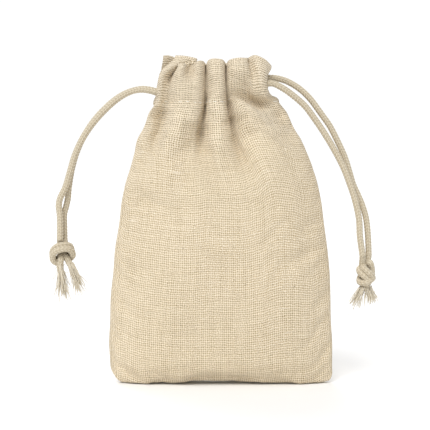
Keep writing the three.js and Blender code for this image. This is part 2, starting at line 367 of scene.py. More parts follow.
# %% [markdown]
# ## The knots
#
# Both ends of a cord are tied together in one overhand knot, pulled tight: a band goes across
# the top of the knot, round the side and across again below, and the ends come out of the
# middle. Each of the two strands follows the same route, a strand apart, and the cotton is
# squeezed a little thinner in the knot than outside it.

# %% Overhand knots of two strands
KNOT_ROUTES = {           # from the knot's centre: right, back and up in millimetres
    "left": [
        (0.1, 1.0, 4.6), (1.0, 2.3, 2.0), (2.6, 2.4, -0.6), (4.0, 0.8, 0.6), (3.5, -1.5, 2.9),
        (1.1, -2.9, 3.5), (-1.7, -2.7, 2.8), (-3.8, -1.3, 0.9), (-3.8, 0.3, -1.8), (-2.0, 1.2, -2.8),
        (-0.4, 1.0, -0.8), (0.6, -0.8, -1.2),
    ],
    "right": [
        (-0.4, 0.9, 3.0), (-0.4, 1.8, -0.4), (-1.3, 1.3, -3.2), (-1.3, -1.1, -4.3), (0.6, -2.1, -4.1),
        (1.8, -0.6, -2.6), (2.1, 1.2, 0.8), (1.9, 0.6, 4.0), (0.3, 1.9, 3.6), (-1.7, 0.5, 2.3),
        (-1.7, -1.8, 1.2), (0.1, -2.9, -0.5), (1.7, -1.9, -2.3), (0.6, -0.2, -3.6),
    ],
}
KNOT_ENDS = {             # where each strand leaves the knot
    "left": [(-0.9, -0.8, -5.2), (3.3, -0.8, -4.0)],
    "right": [(-1.3, -0.5, -6.7), (0.9, -0.5, -6.7)],
}
KNOT_STRAND_RADIUS = 1.42


def knot_line(cord_side, strand, start):
    """The line of one of the two strands in a knot."""
    node = cord_side + "_knot"
    centre = (corner_mm(node, 0) + corner_mm(node, 1)) / 2
    core = np.array(KNOT_ROUTES[cord_side])
    outward = core / np.linalg.norm(core, axis=1)[:, None]
    beside = np.cross(np.gradient(core, axis=0), outward)
    beside /= np.linalg.norm(beside, axis=1)[:, None]
    strand_way = centre + core + (2 * strand - 1) * beside * 1.15
    end = centre + np.array(KNOT_ENDS[cord_side][strand])
    return smooth_line([start + np.array((0, 0, 0.3)), *strand_way, end], 0.3)


knot_ends = {}
for cord_side in ("left", "right"):
    strands = []
    for strand, place in enumerate(("front", "back")):
        start = cord_lines[f"{cord_side}_cord_{place}_tail"][-1]
        strands.append(knot_line(cord_side, strand, start))
    tubes = [rolled_tube(strand, braid(KNOT_STRAND_RADIUS), 32) for strand in strands]
    piece = joined_piece(f"overhand_{cord_side}_knot", tubes)
    dress(piece, cord_side + "_drawcord", "cotton_cord", cord_side + "_knot")
    knot_ends[cord_side] = [strand[-1] for strand in strands]
    cord_pieces[cord_side + "_knot"] = piece

# %% [markdown]
# ## The frayed ends
#
# Below the knot the braid has come undone into its yarns, and some yarns into single fibres.
# Each yarn is a thin tapering tube with only a few faces, because there are many. They leave the
# knot close together and spread out as they go down, each with its own curl.

# %% Frayed yarns and fibres
YARN_RADII = (0.15, 0.32)  # mm, from the thinnest to the thickest
FIBRE_RADIUS = 0.07        # mm
YARNS_FOR_A_FIBRE = 7      # one stray fibre for so many yarns
chance = np.random.default_rng(SEED)


def frayed_yarn(start, aim, length, radius, curl):
    """One tapering yarn from a start, towards an aim, with a curl and a droop."""
    share = np.linspace(0, 1, 8)[:, None]
    aim = aim / np.linalg.norm(aim)
    bend = chance.normal(size=3) * curl
    wave = chance.normal(size=3) * curl * 0.5
    line = start + length * (aim * share + bend * share**2 + wave * np.sin(5 * share) * share)
    line[:, 2:] -= 0.12 * length * share**2
    return rolled_tube(line, lambda angle, far: (radius * (1 - 0.5 * (far / length) ** 2), 1.0), 5)


def frayed_end(cord_side, tufts):
    """The frayed end below a knot, from tufts of yarns and a few stray fibres."""
    parts = []
    for strand, right, length, spread, count in tufts:
        start = knot_ends[cord_side][strand] + np.array((0, 0, 1.0))
        for _ in range(count):
            off = chance.normal(size=3) * np.array((0.6, 0.6, 0.3))
            aim = np.array((right, 0.0, -1.0)) + chance.normal(size=3) * np.array((spread, spread, 0.1))
            reach = length * chance.uniform(0.7, 1.05)
            parts.append(frayed_yarn(start + off, aim, reach, chance.uniform(*YARN_RADII), 0.08))
        for _ in range(count // YARNS_FOR_A_FIBRE):
            aim = np.array((right, 0.0, -0.6)) + chance.normal(size=3) * np.array((0.8, 0.4, 0.4))
            parts.append(frayed_yarn(start, aim, length * chance.uniform(0.6, 1.0), FIBRE_RADIUS, 0.35))
    return joined_piece("frayed_yarns_" + cord_side, parts)


TUFTS = {                 # strand of the knot, aim to the right, length, spread, number of yarns
    "left": [(0, 0.17, 12.6, 0.17, 66), (1, 0.40, 12.0, 0.11, 54)],
    "right": [(0, -0.60, 8.6, 0.26, 52), (1, 0.30, 6.6, 0.26, 44)],
}
for cord_side, tufts in TUFTS.items():
    piece = frayed_end(cord_side, tufts)
    dress(piece, cord_side + "_drawcord", "cotton_cord", cord_side + "_frayed_end")
    cord_pieces[cord_side + "_frayed_end"] = piece

# %% [markdown]
# ## What each cord is
#
# A cord has a fixed length, wherever it lies. For each tail, its line is taken in metres, with
# the knot and the loose yarns at its end. The cotton is limp, so a tail hangs down from its slit
# with the knot and the loose yarns on it.

# %% Each tail's line and its end pieces
for cord_side in ("left", "right"):
    for place in ("front", "back"):
        name = f"{cord_side}_cord_{place}_tail"
        line = cord_lines[name] * MM
        ends = [cord_pieces[cord_side + "_knot"], cord_pieces[cord_side + "_frayed_end"]]

# %% [markdown]
# ## The cloth
#
# A pouch like this is flat when it is made: two panels 100 mm wide and 160 mm high, the last
# 20 mm turned down inside as the casing. Standing, it is a shell that bulges a little, and the
# cords gather its neck into a few deep pleats. Each panel is one sheet here. It begins as a flat
# grid in cloth coordinates, across and up in millimetres, and each row of the grid is laid along
# a cross-section of the standing pouch. The cross-sections of the neck are drawn pleat by pleat,
# and those of the body are lens shapes inside the pouch's outline.

# %% The cloth as it was cut
CLOTH_WIDTH = 100.0
PANEL_HEIGHT = 140.0       # from the bottom seam to the fold at the top
HEM = 20.0                 # turned down inside
STITCH_LINE = 120.0        # up the cloth, where the casing is closed
ACROSS = 84                # faces across a panel
OUTER_ROWS = 108           # faces up the outside
HEM_ROWS = 16              # faces down the inside of the casing
CLOTH_THICKNESS = 0.55

# %% [markdown]
# ## Curves through a few values
#
# Cloth has no corners, so a shape needs only a few values, with a smooth curve through them. This
# one is a cubic Hermite curve: between two values it leaves and arrives with the slopes there. It
# takes values at uneven steps, and whole rows of points as well as single numbers.

# %% Smooth curves through given values
def eased_curve(knots, values, at):
    """A smooth curve through values at uneven knots, read at many places."""
    knots = np.array(knots, float)
    values = np.array(values, float)
    slopes = np.gradient(values, knots, axis=0)
    at = np.clip(at, knots[0], knots[-1])
    i = np.clip(np.searchsorted(knots, at, side="right") - 1, 0, len(knots) - 2)
    width = (knots[i + 1] - knots[i])
    t = (at - knots[i]) / width
    shape = (-1,) + (1,) * (values.ndim - 1)
    t, width = t.reshape(shape), width.reshape(shape)
    return ((2 * t**3 - 3 * t**2 + 1) * values[i] + (t**3 - 2 * t**2 + t) * width * slopes[i]
            + (3 * t**2 - 2 * t**3) * values[i + 1] + (t**3 - t**2) * width * slopes[i + 1])


# %% [markdown]
# ## The outline of the body
#
# Below the pleats the pouch is a soft lens, widest near the floor. Its left and right edges
# aren't the same, as in anything soft that stands by itself. The bottom edge dips to the floor at
# its two corners and lifts a little between them.

# %% The outline of the body and its bottom edge
BASE_HEIGHT = 16.5         # mm, the lowest cross-section of the body
SHOULDER_HEIGHT = 107.0    # mm, the lowest cross-section of the neck
OUTLINE = [                # height, left edge, right edge, half depth
    (16.5, -46.5, 47.0, 9.4), (26.5, -46.0, 46.4, 11.0), (36.5, -45.7, 46.2, 12.1),
    (46.5, -44.6, 45.8, 12.8), (56.5, -43.8, 44.8, 13.2), (66.5, -42.1, 43.4, 13.4),
    (76.5, -40.9, 42.1, 13.4), (84.0, -39.2, 40.4, 13.4), (89.0, -37.5, 38.8, 13.2),
    (96.0, -35.5, 36.0, 12.8), (101.5, -34.2, 33.4, 12.4), (107.0, -32.2, 31.0, 12.0),
]
BOTTOM_EDGE = [            # across the cloth, then right and up
    (0.0, -46.9, 9.6), (2.5, -45.0, 5.6), (5.0, -42.2, 2.6), (9.0, -38.6, 0.5), (28.0, -21.0, 1.7),
    (50.0, 0.5, 2.5), (74.0, 23.0, 1.8), (94.5, 43.2, 0.6), (97.5, 46.4, 3.2), (100.0, 47.7, 7.4),
]

# %% [markdown]
# ## The pleats
#
# Where the cords gather it, the cloth stands in deep pleats that press against each other: a
# broad one at the left, a narrow one in the middle, and one at the right that runs down across
# the shoulder. A simulation would find some pleats, but not these, so they are drawn. Each line
# runs up the cloth along a crest, a side or a valley. It has six places, and each is given as
# millimetres to the right, to the back and up.

# %% The pleats of the front, drawn
FRONT_PLEATS = [           # shoulder | fold below the stitches | stitches | cords | lobe | top
    ((-32.2, -0.6, 107), (-29.9, -0.6, 112.4), (-27.3, -0.6, 116.8),
     (-26.0, -5.0, 123.4), (-24.0, -7.0, 129.6), (-18.4, -5.4, 136.6)),
    ((-29.5, -4.8, 107), (-27.9, -5.4, 112.6), (-25.4, -6.2, 117.2),
     (-24.4, -9.0, 123.0), (-21.7, -10.4, 129.2), (-14.0, -6.4, 136.3)),
    ((-26.4, -5.6, 107), (-24.8, -4.6, 112.4), (-22.3, -5.0, 117.0),
     (-21.2, -7.2, 122.6), (-19.3, -5.4, 128.4), (-9.2, -5.0, 135.0)),
    ((-24.0, -5.4, 107), (-22.4, -4.8, 112.2), (-20.6, -6.2, 116.8),
     (-19.6, -9.4, 122.8), (-18.6, -9.4, 129.0), (-17.2, -8.6, 132.8)),
    ((-20.4, -10.4, 107), (-19.0, -11.0, 112.2), (-16.6, -11.2, 116.6),
     (-16.2, -12.0, 122.8), (-15.8, -12.0, 129.0), (-14.6, -10.6, 132.9)),
    ((-13.8, -11.9, 107), (-13.0, -12.0, 112.2), (-12.0, -11.6, 116.5),
     (-12.0, -12.2, 123.6), (-12.4, -6.6, 129.8), (-12.2, -6.8, 132.2)),
    ((-9.8, -11.6, 107), (-9.2, -11.4, 112.2), (-8.5, -11.2, 116.4),
     (-8.4, -11.6, 122.6), (-8.5, -12.0, 129.2), (-8.8, -10.4, 134.0)),
    ((-8.9, -9.4, 107), (-7.7, -8.8, 112.2), (-6.8, -8.0, 116.6),
     (-6.6, -9.0, 122.8), (-6.5, -9.0, 129.2), (-6.4, -7.6, 133.7)),
    ((-7.6, -5.8, 107), (-6.6, -4.2, 112.2), (-6.0, -4.4, 116.6),
     (-5.9, -7.2, 122.8), (-5.9, -5.6, 129.0), (-5.9, -4.4, 131.2)),
    ((-6.1, -7.6, 107), (-5.3, -8.4, 112.2), (-5.2, -8.6, 116.6),
     (-4.4, -8.6, 122.6), (-5.2, -8.8, 129.2), (-5.3, -8.2, 133.8)),
    ((-3.0, -12.0, 107), (-3.2, -12.0, 112.2), (-3.6, -12.0, 116.8),
     (-2.2, -11.2, 123.0), (-2.9, -12.0, 129.2), (-3.4, -10.8, 134.8)),
    ((1.5, -12.4, 107), (1.1, -12.3, 112.2), (0.5, -12.2, 116.8),
     (0.5, -12.4, 123.0), (0.3, -12.2, 129.2), (0.5, -10.9, 134.6)),
    ((3.7, -10.8, 107), (2.9, -9.6, 112.2), (2.3, -8.8, 116.8),
     (2.1, -9.2, 123.0), (1.9, -9.2, 129.2), (2.0, -8.2, 133.5)),
    ((4.9, -7.6, 107), (3.9, -5.0, 112.4), (2.9, -4.6, 117.2),
     (2.4, -7.2, 123.2), (2.3, -6.0, 129.2), (2.3, -4.8, 131.4)),
    ((6.4, -10.4, 107), (5.4, -9.8, 115.8), (3.9, -6.5, 118.2),
     (3.1, -8.6, 123.8), (3.0, -9.0, 129.4), (3.1, -8.0, 134.0)),
    ((10.3, -12.6, 107), (8.3, -12.8, 117.0), (6.2, -7.0, 118.6),
     (6.2, -9.6, 123.8), (6.2, -12.4, 129.6), (6.5, -10.2, 135.1)),
    ((15.8, -13.0, 107), (13.0, -12.8, 114.2), (10.8, -5.0, 117.2),
     (10.8, -7.6, 122.6), (10.8, -12.0, 129.4), (10.8, -9.6, 135.2)),
    ((20.6, -11.6, 107), (17.8, -10.8, 111.4), (15.2, -3.0, 116.2),
     (14.0, -8.8, 119.8), (13.4, -8.6, 128.0), (11.6, -5.4, 135.6)),
    ((25.0, -8.8, 107), (22.3, -5.0, 112.4), (19.6, -3.8, 117.0),
     (16.6, -9.8, 119.8), (15.8, -11.2, 128.4), (14.2, -7.6, 136.6)),
    ((28.8, -4.0, 107), (26.4, -2.4, 112.8), (22.8, -3.4, 117.4),
     (19.2, -8.2, 120.8), (18.6, -8.8, 128.6), (18.2, -7.4, 135.0)),
    ((31.0, -0.6, 107), (28.2, -0.6, 112.8), (24.0, -0.6, 117.8),
     (20.0, -4.4, 121.4), (19.5, -4.4, 127.6), (21.2, -4.4, 132.4)),
]

# %% [markdown]
# ## The pleats of the back
#
# The back is gathered by the same cords into five even pleats with round crests. It meets the
# front at the side seams, and leaves it above them for the slits.

# %% The pleats of the back, drawn
BACK_PLEATS = [
    ((-32.2, 0.6, 107), (-29.9, 0.6, 112.2), (-27.3, 0.6, 116.8),
     (-25.2, 3.6, 123.4), (-24.5, 3.4, 129.4), (-23.6, 1.4, 136.8)),
    ((-28.5, 5.6, 107), (-26.6, 5.8, 112.2), (-24.5, 6.0, 116.8),
     (-23.2, 8.0, 123.4), (-22.4, 6.6, 129.4), (-21.2, 3.2, 137.0)),
    ((-23.4, 9.8, 107), (-21.9, 9.4, 112.2), (-20.2, 8.8, 116.8),
     (-19.4, 10.6, 123.4), (-18.9, 9.4, 129.4), (-18.0, 5.5, 136.1)),
    ((-17.8, 12.2, 107), (-17.0, 12.0, 112.2), (-16.0, 11.6, 116.8),
     (-15.9, 12.2, 123.4), (-15.8, 11.8, 129.4), (-15.4, 8.8, 135.2)),
    ((-13.2, 9.0, 107), (-12.8, 7.2, 112.2), (-12.2, 5.6, 116.8),
     (-12.2, 7.6, 123.4), (-12.2, 6.8, 129.2), (-12.0, 6.4, 133.0)),
    ((-8.0, 12.6, 107), (-7.8, 12.3, 112.2), (-7.6, 11.8, 116.8),
     (-7.6, 12.3, 123.4), (-7.7, 12.0, 129.4), (-7.6, 10.2, 134.8)),
    ((-3.4, 9.2, 107), (-3.4, 7.2, 112.2), (-3.3, 5.4, 116.8),
     (-3.2, 7.6, 123.4), (-3.1, 6.8, 129.2), (-3.0, 6.6, 132.6)),
    ((1.6, 13.0, 107), (1.6, 12.6, 112.2), (1.5, 12.2, 116.8),
     (1.4, 12.6, 123.4), (1.4, 12.3, 129.4), (1.2, 10.8, 135.0)),
    ((6.2, 9.4, 107), (5.9, 7.4, 112.2), (5.6, 5.6, 116.8),
     (5.4, 7.6, 123.4), (5.2, 6.8, 129.2), (5.2, 6.8, 133.0)),
    ((11.4, 12.6, 107), (10.8, 12.3, 112.2), (10.0, 11.9, 116.8),
     (9.6, 12.4, 123.4), (9.5, 12.0, 129.4), (9.4, 9.8, 134.9)),
    ((16.8, 9.0, 107), (15.8, 7.6, 112.2), (14.6, 5.8, 116.8),
     (13.4, 7.8, 123.4), (13.0, 6.8, 129.2), (12.6, 6.8, 133.8)),
    ((22.6, 9.2, 107), (21.2, 8.8, 112.2), (19.2, 8.2, 116.8),
     (17.4, 10.2, 123.4), (16.9, 9.6, 129.4), (16.5, 8.0, 135.9)),
    ((27.8, 5.6, 107), (25.9, 5.2, 112.2), (23.2, 4.8, 116.8),
     (18.9, 7.8, 123.4), (18.4, 7.0, 129.4), (19.4, 6.0, 134.8)),
    ((31.0, 0.6, 107), (28.2, 0.6, 112.2), (24.0, 0.6, 117.4),
     (19.6, 3.2, 122.4), (18.9, 3.4, 128.8), (20.6, 3.2, 132.8)),
]
print(len(FRONT_PLEATS), "lines drawn up the front and", len(BACK_PLEATS), "up the back")

# %% [markdown]
# ## From the drawing to the sheet
#
# The rows between the drawn ones are smooth curves up the cloth. The pleats grow out of the body
# from about 85 mm up. At the side seams the cloth rolls in by a millimetre, as it does where a
# seam is turned inside out, and the bottom edge curves in to its seam in the same way.

# %% Lay a panel along its cross-sections
FOLD_START = 72.0          # height at which the pleats begin to form
SEAM_ROLL = 0.9            # mm that the cloth turns in at a seam
SEAM_HALF_GAP = 0.06       # mm from a panel to the plane between the two
PLEAT_MIDDLE = 9.0         # mm from the middle of the pouch, halfway up the back's pleats
PLEAT_HALF_HEIGHT = 3.8
STITCH_ROW = 119.8         # up the cloth, the drawn row at the stitches
LOWEST = 0.35              # mm from the floor to the middle of the cloth
LOWER_ROWS = [             # up the cloth, share of the body's depth, share of its height
    (0.0, 0.0, 0.0), (1.6, 0.38, -0.15), (4.5, 0.66, 0.08), (9.0, 0.86, 0.38),
]


def places_across(pleats):
    """Where each drawn line lies across the flat cloth, from the distances between the lines."""
    drawn = np.array(pleats)[:, 2:]
    steps = np.linalg.norm(np.diff(drawn, axis=0), axis=2).mean(axis=1)
    return np.concatenate([[0], np.cumsum(steps)]) / steps.sum() * CLOTH_WIDTH


def row_of(pleats, column, across):
    """One drawn row of the neck, read at every place across the cloth."""
    return eased_curve(places_across(pleats), np.array(pleats)[:, column], across)


def body_row(height, across, pleats, side):
    """A cross-section of the body: a lens inside the outline, with the pleats fading in."""
    heights = [o[0] for o in OUTLINE]
    left, right, depth = (np.interp(height, heights, [o[k] for o in OUTLINE]) for k in (1, 2, 3))
    place = across / CLOTH_WIDTH * 2 - 1
    lens = np.sin((1 - np.abs(place) ** 2.1) * math.pi / 2) ** 0.8    # 0 at the seams, 1 between
    neck = row_of(pleats, 0, across)
    neck_left, neck_right = neck[0, 0], neck[-1, 0]
    neck_place = (neck[:, 0] - neck_left) / (neck_right - neck_left) * 2 - 1
    folded = float(ease((height - FOLD_START) / (SHOULDER_HEIGHT - FOLD_START))) ** 1.3
    place = place * (1 - folded) + neck_place * folded
    relief = side * neck[:, 1] - 12.0 * lens
    wide = 1 + SEAM_ROLL / ((right - left) / 2)
    x = (left + right) / 2 + place * (right - left) / 2 * wide
    y = side * (depth * lens + relief * folded)
    return np.stack([x, y, np.full_like(x, height)], axis=1)


def hem_row(outside, side, height):
    """A row of the hem's inner layer: it follows the pleats gently, and leaves the cords room."""
    depth = np.clip((np.abs(outside[:, 1]) - 6.0) * 0.36 + 0.8, 0.5, 3.0)
    return np.stack([outside[:, 0], side * depth, np.full(len(outside), height)], axis=1)


def rounded_pleats(row, side):
    """Makes drawn pleats rounder at their crests and steeper at their sides."""
    share = np.clip((side * row[:, 1] - PLEAT_MIDDLE) / PLEAT_HALF_HEIGHT, -1.0, 1.0)
    lifted = PLEAT_MIDDLE + PLEAT_HALF_HEIGHT * np.sin(share * math.pi / 2)
    row = row.copy()
    is_pleat = side * row[:, 1] > PLEAT_MIDDLE - PLEAT_HALF_HEIGHT
    row[:, 1] = np.where(is_pleat, side * lifted, row[:, 1])
    return row


def panel_rows(pleats, side):
    """The rows of a panel: how far up the cloth each is, and its points across."""
    across = np.linspace(0, CLOTH_WIDTH, ACROSS + 1)
    edge = eased_curve([b[0] for b in BOTTOM_EDGE], [b[1:] for b in BOTTOM_EDGE], across)
    first = body_row(BASE_HEIGHT, across, pleats, side)
    rows = []
    for up, depth_share, rise in LOWER_ROWS:
        x = edge[:, 0] + (first[:, 0] - edge[:, 0]) * rise
        z = edge[:, 1] + (BASE_HEIGHT - edge[:, 1]) * rise
        y = side * SEAM_HALF_GAP + (first[:, 1] - side * SEAM_HALF_GAP) * depth_share
        rows.append((up, np.stack([x, y, np.maximum(z, LOWEST)], axis=1)))
    rows.append((17.0, first))
    for height in (26.5, 36.5, 46.5, 56.5, 66.5, 76.5, 84.0, 90.0, 96.0, 101.5):
        up = 17.0 + (height - BASE_HEIGHT) * 1.02
        rows.append((up, body_row(height, across, pleats, side)))
    for up, column in ((109.6, 0), (114.6, 1), (STITCH_ROW, 2), (126.5, 3), (133.0, 4)):
        row = row_of(pleats, column, across)
        rows.append((up, rounded_pleats(row, side) if side > 0 else row))
    top = row_of(pleats, 5, across)
    top[:, 1] -= side * 0.9
    stitched, cords, lobe = (row[1] for row in rows[-3:])
    inward = -side
    rows.append((138.4, top + np.array((0, side * 0.3, -1.2))))
    rows.append((140.0, top + np.array((0, inward * 0.8, 0.0))))
    rows.append((141.6, top + np.array((0, inward * 1.9, -1.2))))
    rows.append((145.5, hem_row(lobe, side, 130.2)))
    rows.append((150.5, hem_row(lobe * 0.4 + cords * 0.6, side, 125.2)))
    rows.append((155.5, hem_row(cords, side, 120.0)))
    rows.append((158.6, stitched * np.array((1, 0.72, 1)) + np.array((0, 0, 0.4))))
    rows.append((160.0, stitched + np.array((0, inward * 1.1, -0.8))))
    return across, rows


def panel_points(pleats, side):
    """Every point of a panel's grid, with its place on the flat cloth.

    Each column is divided evenly by length between the seam, the stitches, the top and the hem's
    edge, so that the weave isn't stretched where the drawn rows lie far apart.
    """
    across, rows = panel_rows(pleats, side)
    up = np.concatenate([
        np.linspace(0, PANEL_HEIGHT, OUTER_ROWS + 1),
        np.linspace(PANEL_HEIGHT, PANEL_HEIGHT + HEM, HEM_ROWS + 1)[1:],
    ])
    knots = [r[0] for r in rows]
    lines = [0.0, STITCH_ROW, PANEL_HEIGHT, PANEL_HEIGHT + HEM]
    fine = np.linspace(0, PANEL_HEIGHT + HEM, 641)
    drawn = eased_curve(knots, [r[1] for r in rows], fine)
    points = np.zeros((len(up), len(across), 3))
    for column in range(len(across)):
        length = distance_along(drawn[:, column])
        marks = np.interp(lines, fine, length)
        wanted = np.interp(up, lines, marks)
        for k in range(3):
            points[:, column, k] = np.interp(wanted, length, drawn[:, column, k])
    return across, up, points


def add_side_roll(points, up):
    """Turns the outermost column in at the side seams, below the slits."""
    seam = 1 - ease((up - 117.0) / 4.0)
    points[:, 0, 0] += SEAM_ROLL * seam
    points[:, -1, 0] -= SEAM_ROLL * seam


front_across, front_up, front_points = panel_points(FRONT_PLEATS, -1)
back_across, back_up, back_points = panel_points(BACK_PLEATS, 1)
for points, up in ((front_points, front_up), (back_points, back_up)):
    add_side_roll(points, up)
print("a panel's grid is", front_points.shape[1], "by", front_points.shape[0], "points")

# %% [markdown]
# ## Folds that run down from the neck
#
# The big pleats don't stop at the stitches. They run on down the front and open out like a fan,
# as soft ridges and valleys that fade towards the middle of the body. Each is a short line on
# the front with a width and a height.

# %% Ridges and valleys on the front
FRONT_FOLDS = [            # points right and up, then width and height in millimetres
    ([(-8.6, 110), (-12.6, 90), (-17.0, 68)], 4.6, -4.6),
    ([(-13.0, 113), (-22.0, 99), (-29.0, 84)], 6.0, 2.5),
    ([(-22.8, 116), (-25.0, 106), (-29.0, 92)], 3.2, -4.2),
    ([(-1.6, 110), (-3.0, 91), (-5.8, 70), (-6.6, 52)], 7.0, 2.3),
    ([(4.4, 112), (7.0, 101), (7.4, 82)], 4.6, -4.2),
    ([(10.0, 113), (19.0, 106), (20.0, 93), (15.5, 82)], 6.0, 2.2),
    ([(22.0, 115), (26.6, 106), (31.0, 92)], 4.0, -3.4),
    ([(-34.0, 78), (-22.0, 70), (-10.0, 66)], 7.0, -1.4),
    ([(20.0, 66), (34.0, 52)], 8.0, -1.2),
    ([(-30.0, 30), (-12.0, 24), (8.0, 27)], 8.0, -1.1),
]
BACK_FOLDS = [
    ([(-12.8, 110), (-18.0, 92), (-22.0, 72)], 5.0, -3.4),
    ([(-3.4, 110), (-4.2, 92), (-3.0, 74)], 4.6, -3.1),
    ([(6.0, 110), (9.5, 94), (12.0, 78)], 4.6, -3.1),
    ([(16.0, 110), (22.0, 96), (27.0, 80)], 4.6, -2.9),
    ([(-8.0, 110), (-11.0, 90), (-12.0, 64)], 7.0, 1.7),
    ([(1.6, 110), (2.5, 88), (4.0, 62)], 7.0, 1.7),
    ([(11.4, 110), (16.5, 92), (19.0, 72)], 6.0, 1.6),
    ([(-24.0, 44), (0.0, 36), (22.0, 42)], 8.0, -1.0),
]


def add_folds(points, up, folds, side):
    """Raises ridges and sinks valleys along lines on a panel."""
    where = points[:, :, (0, 2)]
    offset = np.zeros(points.shape[:2])
    for line, width, height in folds:
        line = smooth_line([(x, 0.0, z) for x, z in line], 1.0)[:, (0, 2)]
        apart = np.linalg.norm(where[:, :, None, :] - line[None, None, :, :], axis=3)
        nearest = apart.argmin(axis=2) / (len(line) - 1)
        strength = ease(nearest / 0.12) * (1 - 0.75 * nearest)
        offset += height * strength * np.exp(-(apart.min(axis=2) / width) ** 2)
    offset *= (1 - ease((up - 112) / 7))[:, None]
    points[:, :, 1] += side * offset
    points[:, :, 1] = side * np.maximum(side * points[:, :, 1], SEAM_HALF_GAP)


add_folds(front_points, front_up, FRONT_FOLDS, -1)
add_folds(back_points, back_up, BACK_FOLDS, 1)
print(len(FRONT_FOLDS), "folds down the front and", len(BACK_FOLDS), "down the back")

# %% [markdown]
# ## Wrinkles by cloth simulation
#
# A drawn sheet is too even. Real cloth has a length of its own in each direction, and where the
# drawing asks it to be shorter it buckles into small wrinkles. The cloth simulation finds them:
# the seams and the casing are pinned, the sheet is told that it is a little wider than it was
# drawn, and a slight pressure stands for whatever fills the pouch. The result is written back to
# the mesh with a limit on how far a point may move, so no simulation is left on the piece.

# %% A panel as a grid, and its simulation
SIM_SCALE = 0.01           # units of the simulation in a millimetre, so a panel is 1 unit wide
SIM_FRAMES = 24
MOST_MOVE = 4.0            # mm
SPARE_CLOTH = 0.03         # how much wider the cloth is than it was drawn
BACK_CLOTH_SHIFT = 130     # mm between the panels in the cloth's pattern, so that they differ


def panel_mesh(name, across, up, points, side, scale):
    """A panel's grid in a mesh, with its flat place as a UV map in millimetres."""
    bm = bmesh.new()
    bmesh.ops.create_grid(bm, x_segments=ACROSS, y_segments=len(up) - 1, size=1)
    uv_layer = bm.loops.layers.uv.new("UVMap")
    place = {}
    for vert in bm.verts:
        column = round((vert.co.x + 1) / 2 * ACROSS)
        row = round((vert.co.y + 1) / 2 * (len(up) - 1))
        place[vert] = (row, column)
        vert.co = Vector(points[row, column]) * scale
    for face in bm.faces:
        for loop in face.loops:
            row, column = place[loop.vert]
            loop[uv_layer].uv = (across[column] + (0 if side < 0 else BACK_CLOTH_SHIFT), up[row])
    if side > 0:
        bmesh.ops.reverse_faces(bm, faces=bm.faces)
    mesh = bpy.data.meshes.new(name)
    bm.to_mesh(mesh)
    places = np.array([place[v] for v in bm.verts])
    bm.free()
    mesh.shade_smooth()
    return mesh, places


def wrinkled(name, across, up, points, side):
    """The points of a panel after its simulation."""
    mesh, places = panel_mesh(name, across, up, points, side, SIM_SCALE)
    sheet = bpy.data.objects.new(name, mesh)
    bpy.context.scene.collection.objects.link(sheet)
    height = up[places[:, 0]]
    inside = np.minimum(across[places[:, 1]], CLOTH_WIDTH - across[places[:, 1]])
    hold = 0.02 + 0.25 * ease((height - 88) / 28)          # the pleats are held a little
    hold = np.where(height > 118.4, 1.0, hold)              # the casing is held
    hold = np.where((inside < 1.3) | (height < 2.0), 1.0, hold)      # and so are the seams
    group = sheet.vertex_groups.new(name="held")
    for index, weight in enumerate(hold):
        group.add([index], float(weight), "REPLACE")
    cloth = sheet.modifiers.new("Cloth", "CLOTH")
    settings = cloth.settings
    settings.quality = 6
    settings.mass = 0.15
    settings.tension_stiffness = 20
    settings.compression_stiffness = 20
    settings.shear_stiffness = 4
    settings.bending_stiffness = 0.15
    settings.air_damping = 4
    settings.vertex_group_mass = "held"
    settings.pin_stiffness = 1.0
    settings.shrink_min = -SPARE_CLOTH
    settings.use_pressure = True
    settings.uniform_pressure_force = 0.6
    settings.effector_weights.gravity = 0
    cloth.collision_settings.use_collision = False
    cloth.collision_settings.use_self_collision = False
    cloth.point_cache.frame_start = 1
    cloth.point_cache.frame_end = SIM_FRAMES
    scene = bpy.context.scene
    for frame_number in range(1, SIM_FRAMES + 1):
        scene.frame_set(frame_number)
    solved = sheet.evaluated_get(bpy.context.evaluated_depsgraph_get()).to_mesh()
    moved = np.array([v.co for v in solved.vertices]) / SIM_SCALE
    scene.frame_set(1)
    bpy.data.objects.remove(sheet)
    bpy.data.meshes.remove(mesh)
    start = points[places[:, 0], places[:, 1]]
    step = moved - start
    size = np.linalg.norm(step, axis=1)
    step *= (MOST_MOVE * np.tanh(size / MOST_MOVE) / np.maximum(size, 1e-9))[:, None]
    result = points.copy()
    result[places[:, 0], places[:, 1]] = start + step
    print(name, "moved by up to", round(float(np.linalg.norm(step, axis=1).max()), 2), "mm")
    return result


front_points = wrinkled("front_trial", front_across, front_up, front_points, -1)
back_points = wrinkled("back_trial", back_across, back_up, back_points, 1)

# %% [markdown]
# ## Small unevenness
#
# Handling leaves soft dents and swellings in a cloth, and a row of machine stitches draws it in
# along a groove, with tiny puckers beside it. They are too small for the simulation's grid to
# find, so they are added as smooth lumps and waves.

# %% Dents, groove and pucker
LUMPS = 46                 # dents and swellings on a panel
LUMP_DEPTH = 0.28          # mm, about two thirds of them are shallower
GROOVE_DEPTH = 0.35        # mm that the stitches draw the cloth in
PUCKER_HEIGHT = 0.22
PUCKER_LENGTH = 2.9        # mm from one pucker to the next


